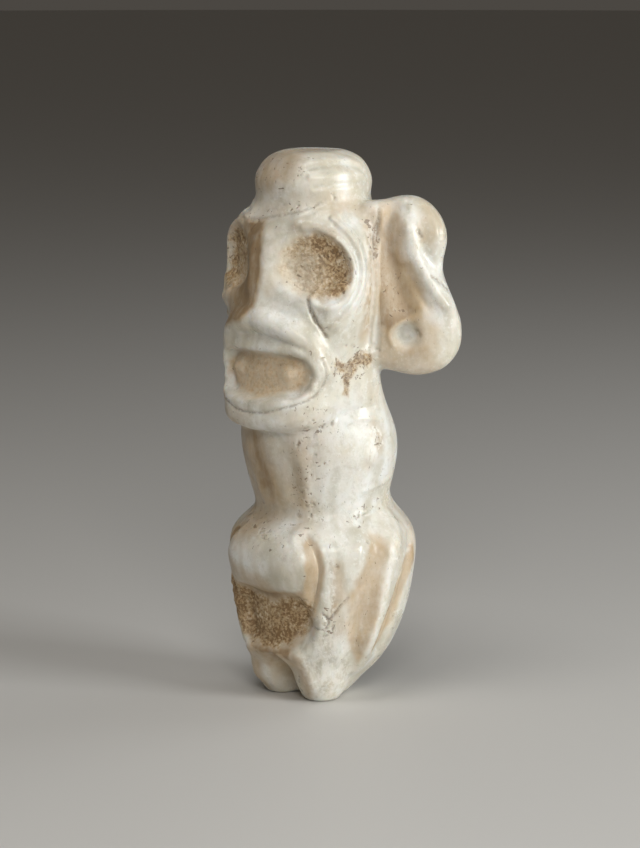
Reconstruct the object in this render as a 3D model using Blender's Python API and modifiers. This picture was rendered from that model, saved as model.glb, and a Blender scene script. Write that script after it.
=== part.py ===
"""Stone zemi idol: a crouching spirit figure with a skull-like face, carved from one piece of marble.

The figure faces -Y and stands at z = 0, with the origin midway between its sides. It is shaped as a
carver would: the block is roughed out from a few rounded masses, and the hollows, grooves and raised
rims are then cut into it stroke by stroke.
"""

import math
from collections import namedtuple

import bmesh
import bpy
import numpy as np
from mathutils import Matrix, Vector

# Driving size

HEIGHT = 0.097  # soles to the flat crown, metres

# Every proportion below is in ninety-sevenths of the height, so it reads as millimetres at the real size.
PART = HEIGHT / 97

# How finely the stone is worked

GRAIN = 0.5  # side of the grains that the block is fused from
RING_POINTS = 56
RING_SPACING = 1.0
FUSE_PASSES = 14  # how often the joins of the masses are rubbed
WEAR_PASSES = 4  # how often the carving is rubbed
MOST_TRIANGLES = 9400

# Body and head, from the soles up. Each level section is a rounded oblong with its own front and back.

Section = namedtuple("Section", "height half_width widest front back front_power back_power")

BODY_SECTIONS = (
    Section(-1.5, 3.4, -0.6, 3.2, 4.6, 2.0, 2.0),
    Section(0.0, 5.0, -0.6, 3.8, 5.6, 2.0, 2.0),
    Section(1.5, 6.6, -0.8, 4.6, 7.4, 2.0, 2.0),
    Section(2.9, 7.8, -0.9, 5.4, 9.0, 2.0, 2.0),
    Section(5.9, 11.0, -0.7, 9.0, 11.6, 2.0, 2.0),
    Section(8.7, 13.2, -0.4, 12.2, 12.8, 2.0, 2.0),
    Section(11.6, 14.5, 0.0, 13.4, 13.8, 2.0, 2.0),
    Section(17.4, 16.0, 0.4, 14.2, 15.1, 2.1, 2.1),
    Section(23.1, 16.8, 0.7, 14.6, 15.9, 2.2, 2.1),
    Section(26.5, 17.1, 0.8, 14.7, 16.1, 2.2, 2.1),
    Section(29.0, 16.8, 0.9, 14.4, 15.9, 2.2, 2.1),
    Section(31.4, 15.4, 1.3, 13.2, 14.8, 2.1, 2.0),
    Section(33.6, 12.9, 1.3, 11.2, 13.2, 2.0, 2.0),
    Section(36.1, 12.6, 0.8, 11.7, 11.7, 2.0, 2.0),
    Section(39.5, 13.4, 0.6, 12.4, 12.6, 2.0, 2.0),
    Section(44.3, 14.5, 0.4, 13.1, 13.2, 2.0, 2.0),
    Section(48.5, 14.2, 0.2, 13.1, 12.8, 2.0, 2.0),
    Section(52.3, 13.8, 0.1, 10.6, 10.2, 2.0, 2.0),
    Section(56.0, 13.8, -0.6, 9.4, 8.8, 2.0, 2.0),
    Section(64.0, 13.8, -0.6, 9.4, 8.8, 2.0, 2.0),
)

HEAD_SECTIONS = (
    Section(49.0, 7.2, -10.4, 5.4, 4.0, 2.0, 2.0),
    Section(49.9, 10.0, -9.4, 7.6, 5.5, 2.1, 2.0),
    Section(51.8, 11.5, -8.2, 8.8, 8.6, 2.2, 2.0),
    Section(54.8, 12.2, -7.0, 9.4, 12.0, 2.2, 2.0),
    Section(57.5, 12.3, -6.0, 9.5, 14.2, 2.2, 2.0),
    Section(61.5, 12.6, -5.1, 9.6, 14.8, 2.1, 2.2),
    Section(65.0, 13.7, -4.4, 10.7, 14.8, 2.0, 2.3),
    Section(70.2, 15.4, -3.8, 11.8, 14.6, 1.9, 2.3),
    Section(76.5, 15.8, -3.5, 11.3, 14.0, 1.9, 2.3),
    Section(81.5, 15.4, -3.2, 10.8, 13.6, 2.0, 2.3),
    Section(84.0, 14.2, -2.8, 9.9, 12.6, 2.0, 2.2),
    Section(86.6, 11.8, -2.0, 9.3, 11.3, 2.0, 2.0),
    Section(89.0, 10.5, -1.4, 9.4, 9.8, 2.0, 2.0),
    Section(92.0, 10.6, -1.2, 10.3, 10.3, 2.0, 2.0),
    Section(94.4, 9.5, -1.1, 9.2, 9.2, 2.0, 2.0),
    Section(96.0, 8.0, -1.0, 7.8, 7.8, 2.0, 2.0),
    Section(97.0, 5.6, -0.9, 5.6, 5.6, 2.0, 2.0),
)

# The ears sweep back at this angle from the line across the head, so that each faces forward and outward

EAR_SWEEP = math.radians(45.0)
EAR_FORWARD = 7.8  # the ear's mid plane, along the line it faces
EAR_HALF_THICKNESS = 3.2
EAR_ROUNDING = 2.2
EAR_OUTLINE = (  # (outward, height) round the rim, from where it leaves the head at the top
    (7.0, 87.6),
    (12.0, 89.0),
    (16.2, 89.8),
    (20.0, 87.9),
    (22.4, 83.0),
    (21.6, 76.8),
    (23.6, 71.4),
    (25.1, 66.0),
    (23.5, 60.9),
    (19.2, 58.5),
    (13.6, 58.9),
    (8.0, 61.5),
)
EAR_ROOT = 10.4  # outward of this the skin belongs to the ear
EAR_BLEND = 0.8
EAR_FOOT = 57.0  # lowest height of an ear's skin
EAR_FRONT = 0.5  # how far a point has to look the ear's way to be on its front

# The feet, with their toes turned out under the drawn-up legs

FOOT_PLACE = (4.5, -3.7, 10.2)
FOOT_RADIUS = (6.3, 6.7, 11.6)
FOOT_TOE_OUT = math.radians(45.0)

# Carving strokes. A path runs through (turn from the front in degrees, height), or on the ears through
# (outward, height), and both sides of the figure take it. The lift is negative where the stroke cuts in.

Stroke = namedtuple("Stroke", "path width lift form", defaults=("soft",))
FLOOR_SHARE = 0.72  # share of a flat-floored hollow's half width that is floor
RUNS_PER_POINT = 6

FACE_STROKES = {
    "eye socket": Stroke([(35, 78.0), (42, 77.9)], 6.6, -1.1, "bowl"),
    "eye socket floor": Stroke([(36, 78.2), (45, 77.9)], 5.6, -1.2, "floor"),
    "slope from nose to eye": Stroke([(22, 75.0), (30, 76.0)], 5.6, -0.6),
    "inner rim": Stroke(
        [
            (28, 85.0),
            (42, 84.9),
            (52, 83.9),
            (60, 82.1),
            (65, 79.6),
            (66.8, 77.0),
            (65, 74.0),
            (60, 71.6),
            (52, 70.3),
        ],
        1.4,
        0.8,
    ),
    "outer rim": Stroke(
        [(60, 85.4), (67.5, 82.8), (72, 79.6), (73, 76.2), (70.5, 72.4), (64.5, 69.2), (57, 67.2)], 1.4, 0.5
    ),
    "temple": Stroke([(87, 86), (86, 81), (85, 73), (86, 64)], 1.8, -0.8),
    "edge of the nose": Stroke([(3.5, 83.0), (5, 80.5), (5.5, 76.5), (4.5, 73.0), (2, 70.0)], 2.6, 0.6),
    "brow": Stroke([(0, 84.6), (30, 86.6)], 1.6, 0.3),
    "nose tip": Stroke([(0, 68.4), (10, 68.4)], 3.4, 0.5),
    "nose wing": Stroke(
        [(6, 68.4), (12, 68.2), (21, 67.3), (30, 66.0), (39, 64.4), (46, 62.4), (50, 60.0)], 2.7, 1.0
    ),
    "open mouth": Stroke([(0, 58.5), (26, 59.1)], 4.4, -1.4, "floor"),
    "lips": Stroke(
        [
            (0, 63.6),
            (17, 63.6),
            (29, 63.5),
            (38, 62.8),
            (44, 61.2),
            (46, 59.2),
            (43.5, 57.0),
            (36, 55.3),
            (25, 54.4),
            (0, 53.6),
        ],
        1.5,
        0.7,
    ),
}

EAR_STROKES = {
    "channel": Stroke(
        [(13.0, 87.2), (12.7, 83.0), (12.9, 79.5), (13.5, 76.3), (14.4, 73.0), (15.4, 70.2)], 3.2, -1.3
    ),
    "fold": Stroke(
        [(15.6, 84.6), (16.1, 82.0), (16.9, 79.5), (18.4, 76.5), (20.2, 73.5), (22.4, 70.6)], 2.2, 0.9
    ),
    "upper lobe": Stroke([(19.5, 83.0)], 4.2, 0.9),
    "lower lobe": Stroke([(17.8, 66.0)], 8.5, 0.8),
    "dimple": Stroke([(15.3, 65.7)], 3.0, -1.3, "bowl"),
}

BODY_STROKES = {
    "belly": Stroke([(0, 26.0), (25, 26.0)], 7.2, 1.7),
    "hollow between the shins": Stroke([(0, 14.6), (20, 15.0)], 6.2, -2.4, "floor"),
    "inner edge of the shin": Stroke(
        [(35, 30.0), (40, 28.4), (43.5, 26.0), (44, 23.5), (42.5, 20.0), (40, 17.0), (34, 13.0)], 2.1, -1.6
    ),
    "groove behind the shin": Stroke(
        [(87, 31), (82.5, 27), (80, 22.5), (77, 18), (75.5, 13.5), (76.5, 9)], 3.1, -1.8
    ),
    "calf": Stroke([(108, 33), (97, 27), (92, 21.5), (87.5, 16), (84.5, 11), (84, 6)], 2.0, 0.6),
    "groove under the thigh": Stroke(
        [(119, 29), (112, 24.5), (106.5, 19.5), (101.5, 15), (97, 9.5)], 1.6, -0.9
    ),
    "inner edge of the foot": Stroke([(25, 9.6), (31, 6.8), (38, 3.6)], 1.8, 0.5),
    "cleft between the feet": Stroke([(0, 6.4), (0, 0.0)], 3.0, -1.6),
    "spine": Stroke([(180, 50), (180, 40), (180, 12)], 5.0, -0.8),
    "cleft of the haunches": Stroke([(180, 24), (180, 12)], 4.0, -0.8),
}

# Stone

STONE_COLOUR = (0.74, 0.68, 0.56, 1.0)
STONE_ROUGHNESS = 0.34


def remove_everything():
    for thing in list(bpy.data.objects):
        bpy.data.objects.remove(thing, do_unlink=True)


def new_collection(name):
    made = bpy.data.collections.new(name)
    bpy.context.scene.collection.children.link(made)
    return made


def new_object(name, mesh, collection):
    made = bpy.data.objects.new(name, mesh)
    collection.objects.link(made)
    return made


def mesh_from(shape, name):
    mesh = bpy.data.meshes.new(name)
    shape.to_mesh(mesh)
    shape.free()
    return mesh


def evaluated_mesh(thing):
    bpy.context.view_layer.update()
    graph = bpy.context.evaluated_depsgraph_get()
    return bpy.data.meshes.new_from_object(thing.evaluated_get(graph))


def smooth_between(start, end, start_slope, end_slope, t):
    """A smooth step from start to end, with the slopes given at its ends."""
    return (
        start * (2 * t**3 - 3 * t**2 + 1)
        + start_slope * (t**3 - 2 * t**2 + t)
        + end * (3 * t**2 - 2 * t**3)
        + end_slope * (t**3 - t**2)
    )


def sections_between(sections):
    """The sections with smooth ones put between them, evenly up the height."""
    rows = np.array(sections, float)
    heights = rows[:, 0]
    slopes = np.gradient(rows, heights, axis=0)
    count = int(round((heights[-1] - heights[0]) / RING_SPACING)) + 1
    found = []
    for height in np.linspace(heights[0], heights[-1], count):
        low = min(int(np.searchsorted(heights, height, side="right")) - 1, len(rows) - 2)
        gap = heights[low + 1] - heights[low]
        t = (height - heights[low]) / gap
        row = smooth_between(rows[low], rows[low + 1], slopes[low] * gap, slopes[low + 1] * gap, t)
        found.append(Section(*row))
    return found


def section_point(section, turn):
    across, along = math.cos(turn), math.sin(turn)
    if along > 0:
        depth, power = section.back, section.back_power
    else:
        depth, power = section.front, section.front_power
    reach = (abs(across / section.half_width) ** power + abs(along / depth) ** power) ** (-1 / power)
    return Vector((across * reach, section.widest + along * reach, section.height)) * PART


def stacked_mass(name, sections, collection):
    """A closed mass lofted through level sections."""
    shape = bmesh.new()
    turns = [2 * math.pi * i / RING_POINTS for i in range(RING_POINTS)]
    below = None
    for section in sections_between(sections):
        ring = [shape.verts.new(section_point(section, turn)) for turn in turns]
        edges = [shape.edges.new((a, b)) for a, b in zip(ring, ring[1:] + ring[:1])]
        if below is None:
            bmesh.ops.contextual_create(shape, geom=edges)
        else:
            bmesh.ops.bridge_loops(shape, edges=below + edges)
        below = edges
    bmesh.ops.contextual_create(shape, geom=below)
    bmesh.ops.recalc_face_normals(shape, faces=shape.faces)
    return new_object(name, mesh_from(shape, name), collection)


def ear_point(side, outward, facing, height):
    """A point by its distance outward along the ear's sweep and its distance along the line the ear faces."""
    cos, sin = math.cos(EAR_SWEEP), math.sin(EAR_SWEEP)
    x = outward * cos + facing * sin
    y = outward * sin - facing * cos
    return Vector((side * x, y, height)) * PART


def ear_mass(side, collection):
    """A flat outline with a rounded rim, set against the side of the head."""
    curve = bpy.data.curves.new("ear_outline", "CURVE")
    curve.dimensions = "2D"
    curve.fill_mode = "BOTH"
    curve.resolution_u = 8
    curve.extrude = (EAR_HALF_THICKNESS - EAR_ROUNDING) * PART
    curve.bevel_depth = EAR_ROUNDING * PART
    curve.offset = -EAR_ROUNDING * PART
    curve.bevel_resolution = 4
    spline = curve.splines.new("BEZIER")
    spline.bezier_points.add(len(EAR_OUTLINE) - 1)
    for point, (outward, height) in zip(spline.bezier_points, EAR_OUTLINE):
        point.co = (outward * PART, height * PART, 0)
        point.handle_left_type = point.handle_right_type = "AUTO"
    spline.use_cyclic_u = True
    flat = new_object("ear_outline", curve, collection)
    shape = bmesh.new()
    shape.from_mesh(evaluated_mesh(flat))
    bpy.data.objects.remove(flat)
    bmesh.ops.remove_doubles(shape, verts=shape.verts, dist=0.01 * PART)
    for vertex in shape.verts:
        outward, height, facing = vertex.co / PART
        vertex.co = ear_point(side, outward, EAR_FORWARD + facing, height)
    bmesh.ops.recalc_face_normals(shape, faces=shape.faces)
    return new_object("ear_mass", mesh_from(shape, "ear_mass"), collection)


def foot_mass(side, collection):
    shape = bmesh.new()
    bmesh.ops.create_uvsphere(shape, u_segments=32, v_segments=20, radius=1.0)
    bmesh.ops.scale(shape, verts=shape.verts, vec=Vector(FOOT_RADIUS) * PART)
    turn = Matrix.Rotation(side * FOOT_TOE_OUT, 3, "Z")
    bmesh.ops.rotate(shape, verts=shape.verts, matrix=turn)
    across, forward, height = FOOT_PLACE
    bmesh.ops.translate(shape, verts=shape.verts, vec=Vector((side * across, forward, height)) * PART)
    return new_object("foot_mass", mesh_from(shape, "foot_mass"), collection)


def fused_block(masses, collection):
    """All the masses as one closed skin of even grain, softened where they meet."""
    shape = bmesh.new()
    for mass in masses:
        shape.from_mesh(mass.data)
        bpy.data.objects.remove(mass)
    block = new_object("block", mesh_from(shape, "block"), collection)
    fuse = block.modifiers.new("fuse", "REMESH")
    fuse.mode = "VOXEL"
    fuse.voxel_size = GRAIN * PART
    soften = block.modifiers.new("soften", "SMOOTH")
    soften.iterations = FUSE_PASSES
    fused = evaluated_mesh(block)
    bpy.data.objects.remove(block)
    return fused


def smooth_step(t):
    t = np.clip(t, 0, 1)
    return t * t * (3 - 2 * t)


def line_through(path):
    """A smooth line through a few points, as short straight runs."""
    path = np.array(path, float)
    if len(path) < 3:
        return path
    slopes = np.gradient(path, axis=0)
    t = np.linspace(0, 1, RUNS_PER_POINT, endpoint=False)[:, None]
    runs = [smooth_between(*ends, t) for ends in zip(path, path[1:], slopes, slopes[1:])]
    return np.vstack(runs + [path[-1:]])


class Skin:
    """The block's surface while it is carved. Strokes add up, and then move each point along its normal."""

    def __init__(self, mesh):
        self.mesh = mesh
        count = len(mesh.vertices)
        points = np.empty(count * 3)
        normals = np.empty(count * 3)
        mesh.vertices.foreach_get("co", points)
        mesh.vertex_normals.foreach_get("vector", normals)
        self.points = points.reshape(-1, 3) / PART
        self.normals = normals.reshape(-1, 3)
        self.lift = np.zeros(count)
        x, y, self.height = self.points.T
        self.girth = np.hypot(x, y)
        self.turn = np.abs(np.arctan2(x, -y))
        cos, sin = math.cos(EAR_SWEEP), math.sin(EAR_SWEEP)
        self.outward = np.abs(x) * cos + y * sin
        facing = np.abs(x) * sin - y * cos
        looks_forward = self.normals[:, 0] * np.sign(x) * sin - self.normals[:, 1] * cos
        beyond_root = np.clip((self.outward - EAR_ROOT) / EAR_BLEND, 0, 1)
        self.on_ear = beyond_root * (facing > EAR_FORWARD) * np.clip(looks_forward / EAR_FRONT, 0, 1)
        self.off_ear = 1 - beyond_root * (self.height > EAR_FOOT)

    def distance(self, path, on_ears):
        """How far each point of the skin is from the path drawn on it."""
        path = line_through(path)
        if on_ears:
            across = self.outward
            marks = np.tile(path[:, 0], (len(across), 1))
        else:
            across = self.turn * self.girth
            marks = np.radians(path[:, 0]) * self.girth[:, None]
        nearest = np.hypot(across - marks[:, 0], self.height - path[0, 1])
        for i in range(len(path) - 1):
            run = marks[:, i + 1] - marks[:, i]
            rise = path[i + 1, 1] - path[i, 1]
            from_x = across - marks[:, i]
            from_z = self.height - path[i, 1]
            share = np.clip((from_x * run + from_z * rise) / np.maximum(run**2 + rise**2, 1e-9), 0, 1)
            nearest = np.minimum(nearest, np.hypot(from_x - share * run, from_z - share * rise))
        return nearest

    def carve(self, stroke, on_ears=False):
        share = self.distance(stroke.path, on_ears) / stroke.width
        if stroke.form == "floor":
            shape = 1 - smooth_step((share - FLOOR_SHARE) / (1 - FLOOR_SHARE))
        else:
            shape = np.clip(1 - share**2, 0, 1)
            if stroke.form == "soft":
                shape = shape**2
        self.lift += stroke.lift * shape * (self.on_ear if on_ears else self.off_ear)

    def finish(self):
        moved = (self.points + self.normals * self.lift[:, None]) * PART
        self.mesh.vertices.foreach_set("co", moved.ravel())
        self.mesh.update()


def worn(mesh, collection):
    """The carved stone with its edges rubbed down, in no more faces than its form needs."""
    carved = new_object("carved", mesh, collection)
    rub = carved.modifiers.new("rub", "SMOOTH")
    rub.iterations = WEAR_PASSES
    fewer = carved.modifiers.new("fewer_faces", "DECIMATE")
    fewer.ratio = min(1.0, MOST_TRIANGLES / (2 * len(mesh.polygons)))
    made = evaluated_mesh(carved)
    bpy.data.objects.remove(carved)
    return made


def ground_flat(mesh):
    """The stone cut off level underneath, so that it stands."""
    shape = bmesh.new()
    shape.from_mesh(mesh)
    everything = shape.verts[:] + shape.edges[:] + shape.faces[:]
    cut = bmesh.ops.bisect_plane(
        shape, geom=everything, plane_co=(0, 0, 0), plane_no=(0, 0, 1), clear_inner=True
    )
    rim = [piece for piece in cut["geom_cut"] if isinstance(piece, bmesh.types.BMEdge)]
    bmesh.ops.holes_fill(shape, edges=rim, sides=0)
    for face in shape.faces:
        face.smooth = True
    return mesh_from(shape, "idol")


def centred(mesh):
    """The stone moved level, so that the origin is midway between its sides."""
    places = np.array([vertex.co for vertex in mesh.vertices])
    middle = (places.min(axis=0) + places.max(axis=0)) / 2
    mesh.transform(Matrix.Translation((-middle[0], -middle[1], 0)))
    return mesh


def stone_material():
    made = bpy.data.materials.new("stone")
    made.use_nodes = True
    surface = made.node_tree.nodes["Principled BSDF"].inputs
    surface["Base Color"].default_value = STONE_COLOUR
    surface["Roughness"].default_value = STONE_ROUGHNESS
    surface["Metallic"].default_value = 0.0
    return made


def build():
    remove_everything()
    collection = new_collection("zemi_idol")
    masses = [
        stacked_mass("body_mass", BODY_SECTIONS, collection),
        stacked_mass("head_mass", HEAD_SECTIONS, collection),
    ]
    for side in (-1, 1):
        masses.append(ear_mass(side, collection))
        masses.append(foot_mass(side, collection))
    skin = Skin(fused_block(masses, collection))
    for stroke in (FACE_STROKES | BODY_STROKES).values():
        skin.carve(stroke)
    for stroke in EAR_STROKES.values():
        skin.carve(stroke, on_ears=True)
    skin.finish()
    stone = centred(ground_flat(worn(skin.mesh, collection)))
    stone.materials.append(stone_material())
    new_object("idol", stone, collection)


build()
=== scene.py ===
# %% [markdown]
# # A small stone spirit figure
#
# The real object is one piece of pale, veined calcite marble, cut, drilled and rubbed with sand until it
# shone. Nothing is joined to it, so the whole figure is one piece here too. The imported model gives its
# exact size and form, and this lesson adds what a hand and an eye would find up close: the crisp rims,
# the rough pecked floors, old cracks, pits, stains and the soft gleam of polished stone.
#
# The imported model is loaded first and never changed. Its box is kept, and the finished stone is later
# pressed back inside it.

# %% Load the imported frame
import math
from collections import namedtuple

import bmesh
import bpy
import numpy as np
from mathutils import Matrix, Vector, kdtree, noise


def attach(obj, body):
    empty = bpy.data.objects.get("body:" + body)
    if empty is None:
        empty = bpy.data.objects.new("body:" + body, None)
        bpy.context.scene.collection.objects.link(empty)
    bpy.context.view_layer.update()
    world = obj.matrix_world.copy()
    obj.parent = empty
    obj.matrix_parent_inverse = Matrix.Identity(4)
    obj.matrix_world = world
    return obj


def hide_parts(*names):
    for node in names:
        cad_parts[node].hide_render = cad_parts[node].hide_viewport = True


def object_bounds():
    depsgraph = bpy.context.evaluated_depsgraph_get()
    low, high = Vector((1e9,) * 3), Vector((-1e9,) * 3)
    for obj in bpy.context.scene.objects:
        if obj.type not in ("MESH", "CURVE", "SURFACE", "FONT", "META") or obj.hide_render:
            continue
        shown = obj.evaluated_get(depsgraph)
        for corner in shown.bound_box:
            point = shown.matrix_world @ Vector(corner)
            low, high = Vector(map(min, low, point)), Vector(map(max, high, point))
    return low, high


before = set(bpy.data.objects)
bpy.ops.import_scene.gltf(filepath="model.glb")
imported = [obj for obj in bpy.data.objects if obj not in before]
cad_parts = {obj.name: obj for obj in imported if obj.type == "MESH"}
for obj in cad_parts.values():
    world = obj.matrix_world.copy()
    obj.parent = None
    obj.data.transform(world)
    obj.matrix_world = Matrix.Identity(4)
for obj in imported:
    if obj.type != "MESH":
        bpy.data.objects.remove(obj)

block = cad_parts["idol"]
cad_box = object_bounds()
MM = 0.001
print("packed block, mm:", [round((high - low) / MM, 1) for low, high in zip(*cad_box)])

# %% [markdown]
# ## Where the picture is taken from
#
# The figure is seen from its front left corner, a little above eye level, through a long lens. A long
# lens keeps the cap and the feet nearly level. The camera is placed by an angle round the figure and an
# angle above it, both measured from the picture's outline.

# %% Set the camera
VIEW_TURN = math.radians(45)
VIEW_RISE = math.radians(9)
VIEW_DISTANCE = 0.6254
VIEW_AIM = Vector((0.00025, 0.0007, 0.0483))
LENS_LENGTH = 150
SENSOR_WIDTH = 36


def toward(turn, rise):
    """A unit direction by its turn from the figure's front and its rise above the floor."""
    level = math.cos(rise)
    return Vector((math.sin(turn) * level, -math.cos(turn) * level, math.sin(rise)))


def look_from(thing, place, aim):
    """Puts a camera or a lamp at a place and points it at its aim."""
    thing.location = place
    thing.rotation_mode = "QUATERNION"
    thing.rotation_quaternion = (aim - place).to_track_quat("-Z", "Y")


lens = bpy.data.cameras.new("long_lens")
lens.lens = LENS_LENGTH
lens.sensor_width = SENSOR_WIDTH
lens.clip_start = 0.01
lens.clip_end = 20
camera = bpy.data.objects.new("camera", lens)
bpy.context.scene.collection.objects.link(camera)
bpy.context.scene.camera = camera
look_from(camera, VIEW_AIM + toward(VIEW_TURN, VIEW_RISE) * VIEW_DISTANCE, VIEW_AIM)
print("camera at", [round(value, 3) for value in camera.location])

# %% [markdown]
# ## The pale floor
#
# A plain pale floor catches the contact shadow under the feet and throws a little light back up. It is
# one wide disc, much larger than the picture, and it isn't part of the figure.

# %% Lay the floor
FLOOR_RADIUS = 3.0
FLOOR_COLOUR = (0.60, 0.59, 0.565, 1)
FLOOR_ROUGHNESS = 0.6


def new_object(name, mesh):
    made = bpy.data.objects.new(name, mesh)
    bpy.context.scene.collection.objects.link(made)
    return made


floor_shape = bmesh.new()
bmesh.ops.create_circle(floor_shape, cap_ends=True, segments=96, radius=FLOOR_RADIUS)
floor_mesh = bpy.data.meshes.new("floor")
floor_shape.to_mesh(floor_mesh)
floor_shape.free()
floor = new_object("floor", floor_mesh)
plaster = bpy.data.materials.new("pale_floor")
plaster.use_nodes = True
coat = plaster.node_tree.nodes["Principled BSDF"]
coat.inputs["Base Color"].default_value = FLOOR_COLOUR
coat.inputs["Roughness"].default_value = FLOOR_ROUGHNESS
floor.data.materials.append(plaster)
print("floor:", FLOOR_RADIUS * 2, "m across")

# %% [markdown]
# ## Soft studio light
#
# The strongest lamp stands low on the right, so that the right side of every form is lit and the left
# side turns darker. A weaker one in front and one above keep the hollows readable, a faint warm one fills
# the far side, and one behind gives the edge of the ear its glow. The lamps are much larger than the
# figure, which gives soft shadows and broad, calm highlights, and shows that the stone is polished. The
# room itself adds a little warm light.

# %% Hang the lamps
Lamp = namedtuple("Lamp", "turn rise distance size power colour")  # degrees, metres and watts
LAMPS = {
    "side": Lamp(104, 14, 0.60, 0.22, 2.55, (0.97, 0.99, 1.0)),
    "front": Lamp(48, 26, 0.60, 0.18, 1.10, (1.0, 0.98, 0.95)),
    "top": Lamp(20, 68, 0.60, 0.26, 1.05, (1.0, 0.98, 0.95)),
    "fill": Lamp(-10, 10, 0.80, 0.45, 0.06, (1.0, 0.66, 0.36)),
    "edge": Lamp(165, 30, 0.60, 0.30, 0.4, (0.92, 0.96, 1.0)),
}
FIGURE_MIDDLE = Vector((0, 0, 0.04))
ROOM_COLOUR = (1.0, 0.90, 0.78, 1)
ROOM_LIGHT = 0.07

for name, lamp in LAMPS.items():
    light = bpy.data.lights.new(name, "AREA")
    light.size = lamp.size
    light.energy = lamp.power
    light.color = lamp.colour
    hung = bpy.data.objects.new(name, light)
    bpy.context.scene.collection.objects.link(hung)
    way = toward(math.radians(lamp.turn), math.radians(lamp.rise))
    look_from(hung, FIGURE_MIDDLE + way * lamp.distance, FIGURE_MIDDLE)

room = bpy.data.worlds.new("room")
room.use_nodes = True
room.node_tree.nodes["Background"].inputs["Color"].default_value = ROOM_COLOUR
room.node_tree.nodes["Background"].inputs["Strength"].default_value = ROOM_LIGHT
bpy.context.scene.world = room
bpy.context.scene.view_settings.view_transform = "Standard"
print("lamps:", ", ".join(LAMPS))

# %% [markdown]
# ## From faceted block to smooth skin
#
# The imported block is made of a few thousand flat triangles, about a millimetre across. That is plenty
# for its outline, but a polished stone shows no flats. So a copy is merged, subdivided once, and given a
# new even skin with a voxel remesh, fine enough to carve rims and pits into. A few smoothing passes then
# take out the last trace of the triangles. The block itself stays as it is.

# %% Take an even skin off the block
MERGE_WITHIN = 0.001 * MM
SKIN_GRAIN = 0.28 * MM
SKIN_SMOOTHING = 10


def with_modifiers_applied(thing):
    """A new mesh, as the object looks with its modifiers."""
    bpy.context.view_layer.update()
    graph = bpy.context.evaluated_depsgraph_get()
    return bpy.data.meshes.new_from_object(thing.evaluated_get(graph))


skin_shape = bmesh.new()
skin_shape.from_mesh(block.data)
bmesh.ops.remove_doubles(skin_shape, verts=skin_shape.verts, dist=MERGE_WITHIN)
rough_mesh = bpy.data.meshes.new("rough")
skin_shape.to_mesh(rough_mesh)
skin_shape.free()
rough = new_object("rough", rough_mesh)
rounding = rough.modifiers.new("rounding", "SUBSURF")
rounding.levels = rounding.render_levels = 1
even = rough.modifiers.new("even", "REMESH")
even.mode = "VOXEL"
even.voxel_size = SKIN_GRAIN
rubbing = rough.modifiers.new("rubbing", "SMOOTH")
rubbing.iterations = SKIN_SMOOTHING
skin = with_modifiers_applied(rough)
bpy.data.objects.remove(rough)
print("skin:", len(skin.vertices), "points")

# %% [markdown]
# ## A map of the figure
#
# Every carved line needs an address. The figure is close to a post, so a place on it is given by its
# turn from the front in degrees and its height in millimetres, as on a round tower. The two ears stand
# off that post, so they have a map of their own: how far out along the ear, and the height. Plus is the
# figure's own left side, which the picture shows.

# %% Read the map at every point
POST_Y = 0.45  # the post's middle is this far behind the origin
EAR_SWEEP = math.radians(45)
EAR_FRONT_FROM = 7.6  # the ear's front lies this far before the post's middle, at right angles to the ear
EAR_ROOT = 10.2  # how far out the ear begins
EAR_ROOT_FADE = 0.8
EAR_FOOT = 57.0  # the height where the ear begins

Chart = namedtuple("Chart", "x height turn girth outward ear post")


def read_skin(mesh):
    """The place and the outward direction of each point of a mesh, one row a point."""
    places = np.empty(len(mesh.vertices) * 3)
    ways = np.empty(len(mesh.vertices) * 3)
    mesh.vertices.foreach_get("co", places)
    mesh.vertex_normals.foreach_get("vector", ways)
    return places.reshape(-1, 3), ways.reshape(-1, 3)


def chart_of(mesh):
    """The map at each point, in millimetres and degrees, and how far it is an ear's front or the post."""
    places, ways = read_skin(mesh)
    x, y, height = places.T / MM
    y = y - POST_Y
    cos, sin = math.cos(EAR_SWEEP), math.sin(EAR_SWEEP)
    outward = np.abs(x) * cos + y * sin
    facing = np.abs(x) * sin - y * cos
    looks = ways[:, 0] * np.sign(x) * sin - ways[:, 1] * cos
    beyond = np.clip((outward - EAR_ROOT) / EAR_ROOT_FADE, 0, 1) * (height > EAR_FOOT)
    front = beyond * (facing > EAR_FRONT_FROM) * np.clip((looks + 0.1) / 0.5, 0, 1)
    return Chart(
        x=x,
        height=height,
        turn=np.degrees(np.arctan2(x, -y)),
        girth=np.hypot(x, y),
        outward=outward,
        ear=front,
        post=1 - beyond,
    )


chart = chart_of(skin)
print("widest girth, mm:", round(float(chart.girth.max()), 1))

# %% [markdown]
# ## Strokes and patches
#
# A carver works in strokes, and so does this script. A stroke is a path on the map, with a width that
# tells how far its effect reaches. A patch is an area inside an outline, such as the floor of an eye.
# Both serve twice: first they move the skin in or out, and later they lay down stain and dirt. That
# keeps each colour exactly where the carving is.

# %% Measure how close a point is to a path
BOTH, NEAR, FAR = "both", "near", "far"
BENDS = 5  # short straight runs between two points of a path


def smooth_line(path):
    """The path with its corners rounded, by a cubic curve through its points."""
    path = np.array(path, float)
    if len(path) < 3:
        return path
    slopes = np.gradient(path, axis=0)
    t = np.linspace(0, 1, BENDS, endpoint=False)[:, None]
    a, b = 2 * t**3 - 3 * t**2 + 1, t**3 - 2 * t**2 + t
    c, d = 3 * t**2 - 2 * t**3, t**3 - t**2
    ends = zip(path, slopes, path[1:], slopes[1:])
    runs = [a * start + b * leaving + c * stop + d * arriving for start, leaving, stop, arriving in ends]
    return np.vstack(runs + [path[-1:]])


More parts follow.
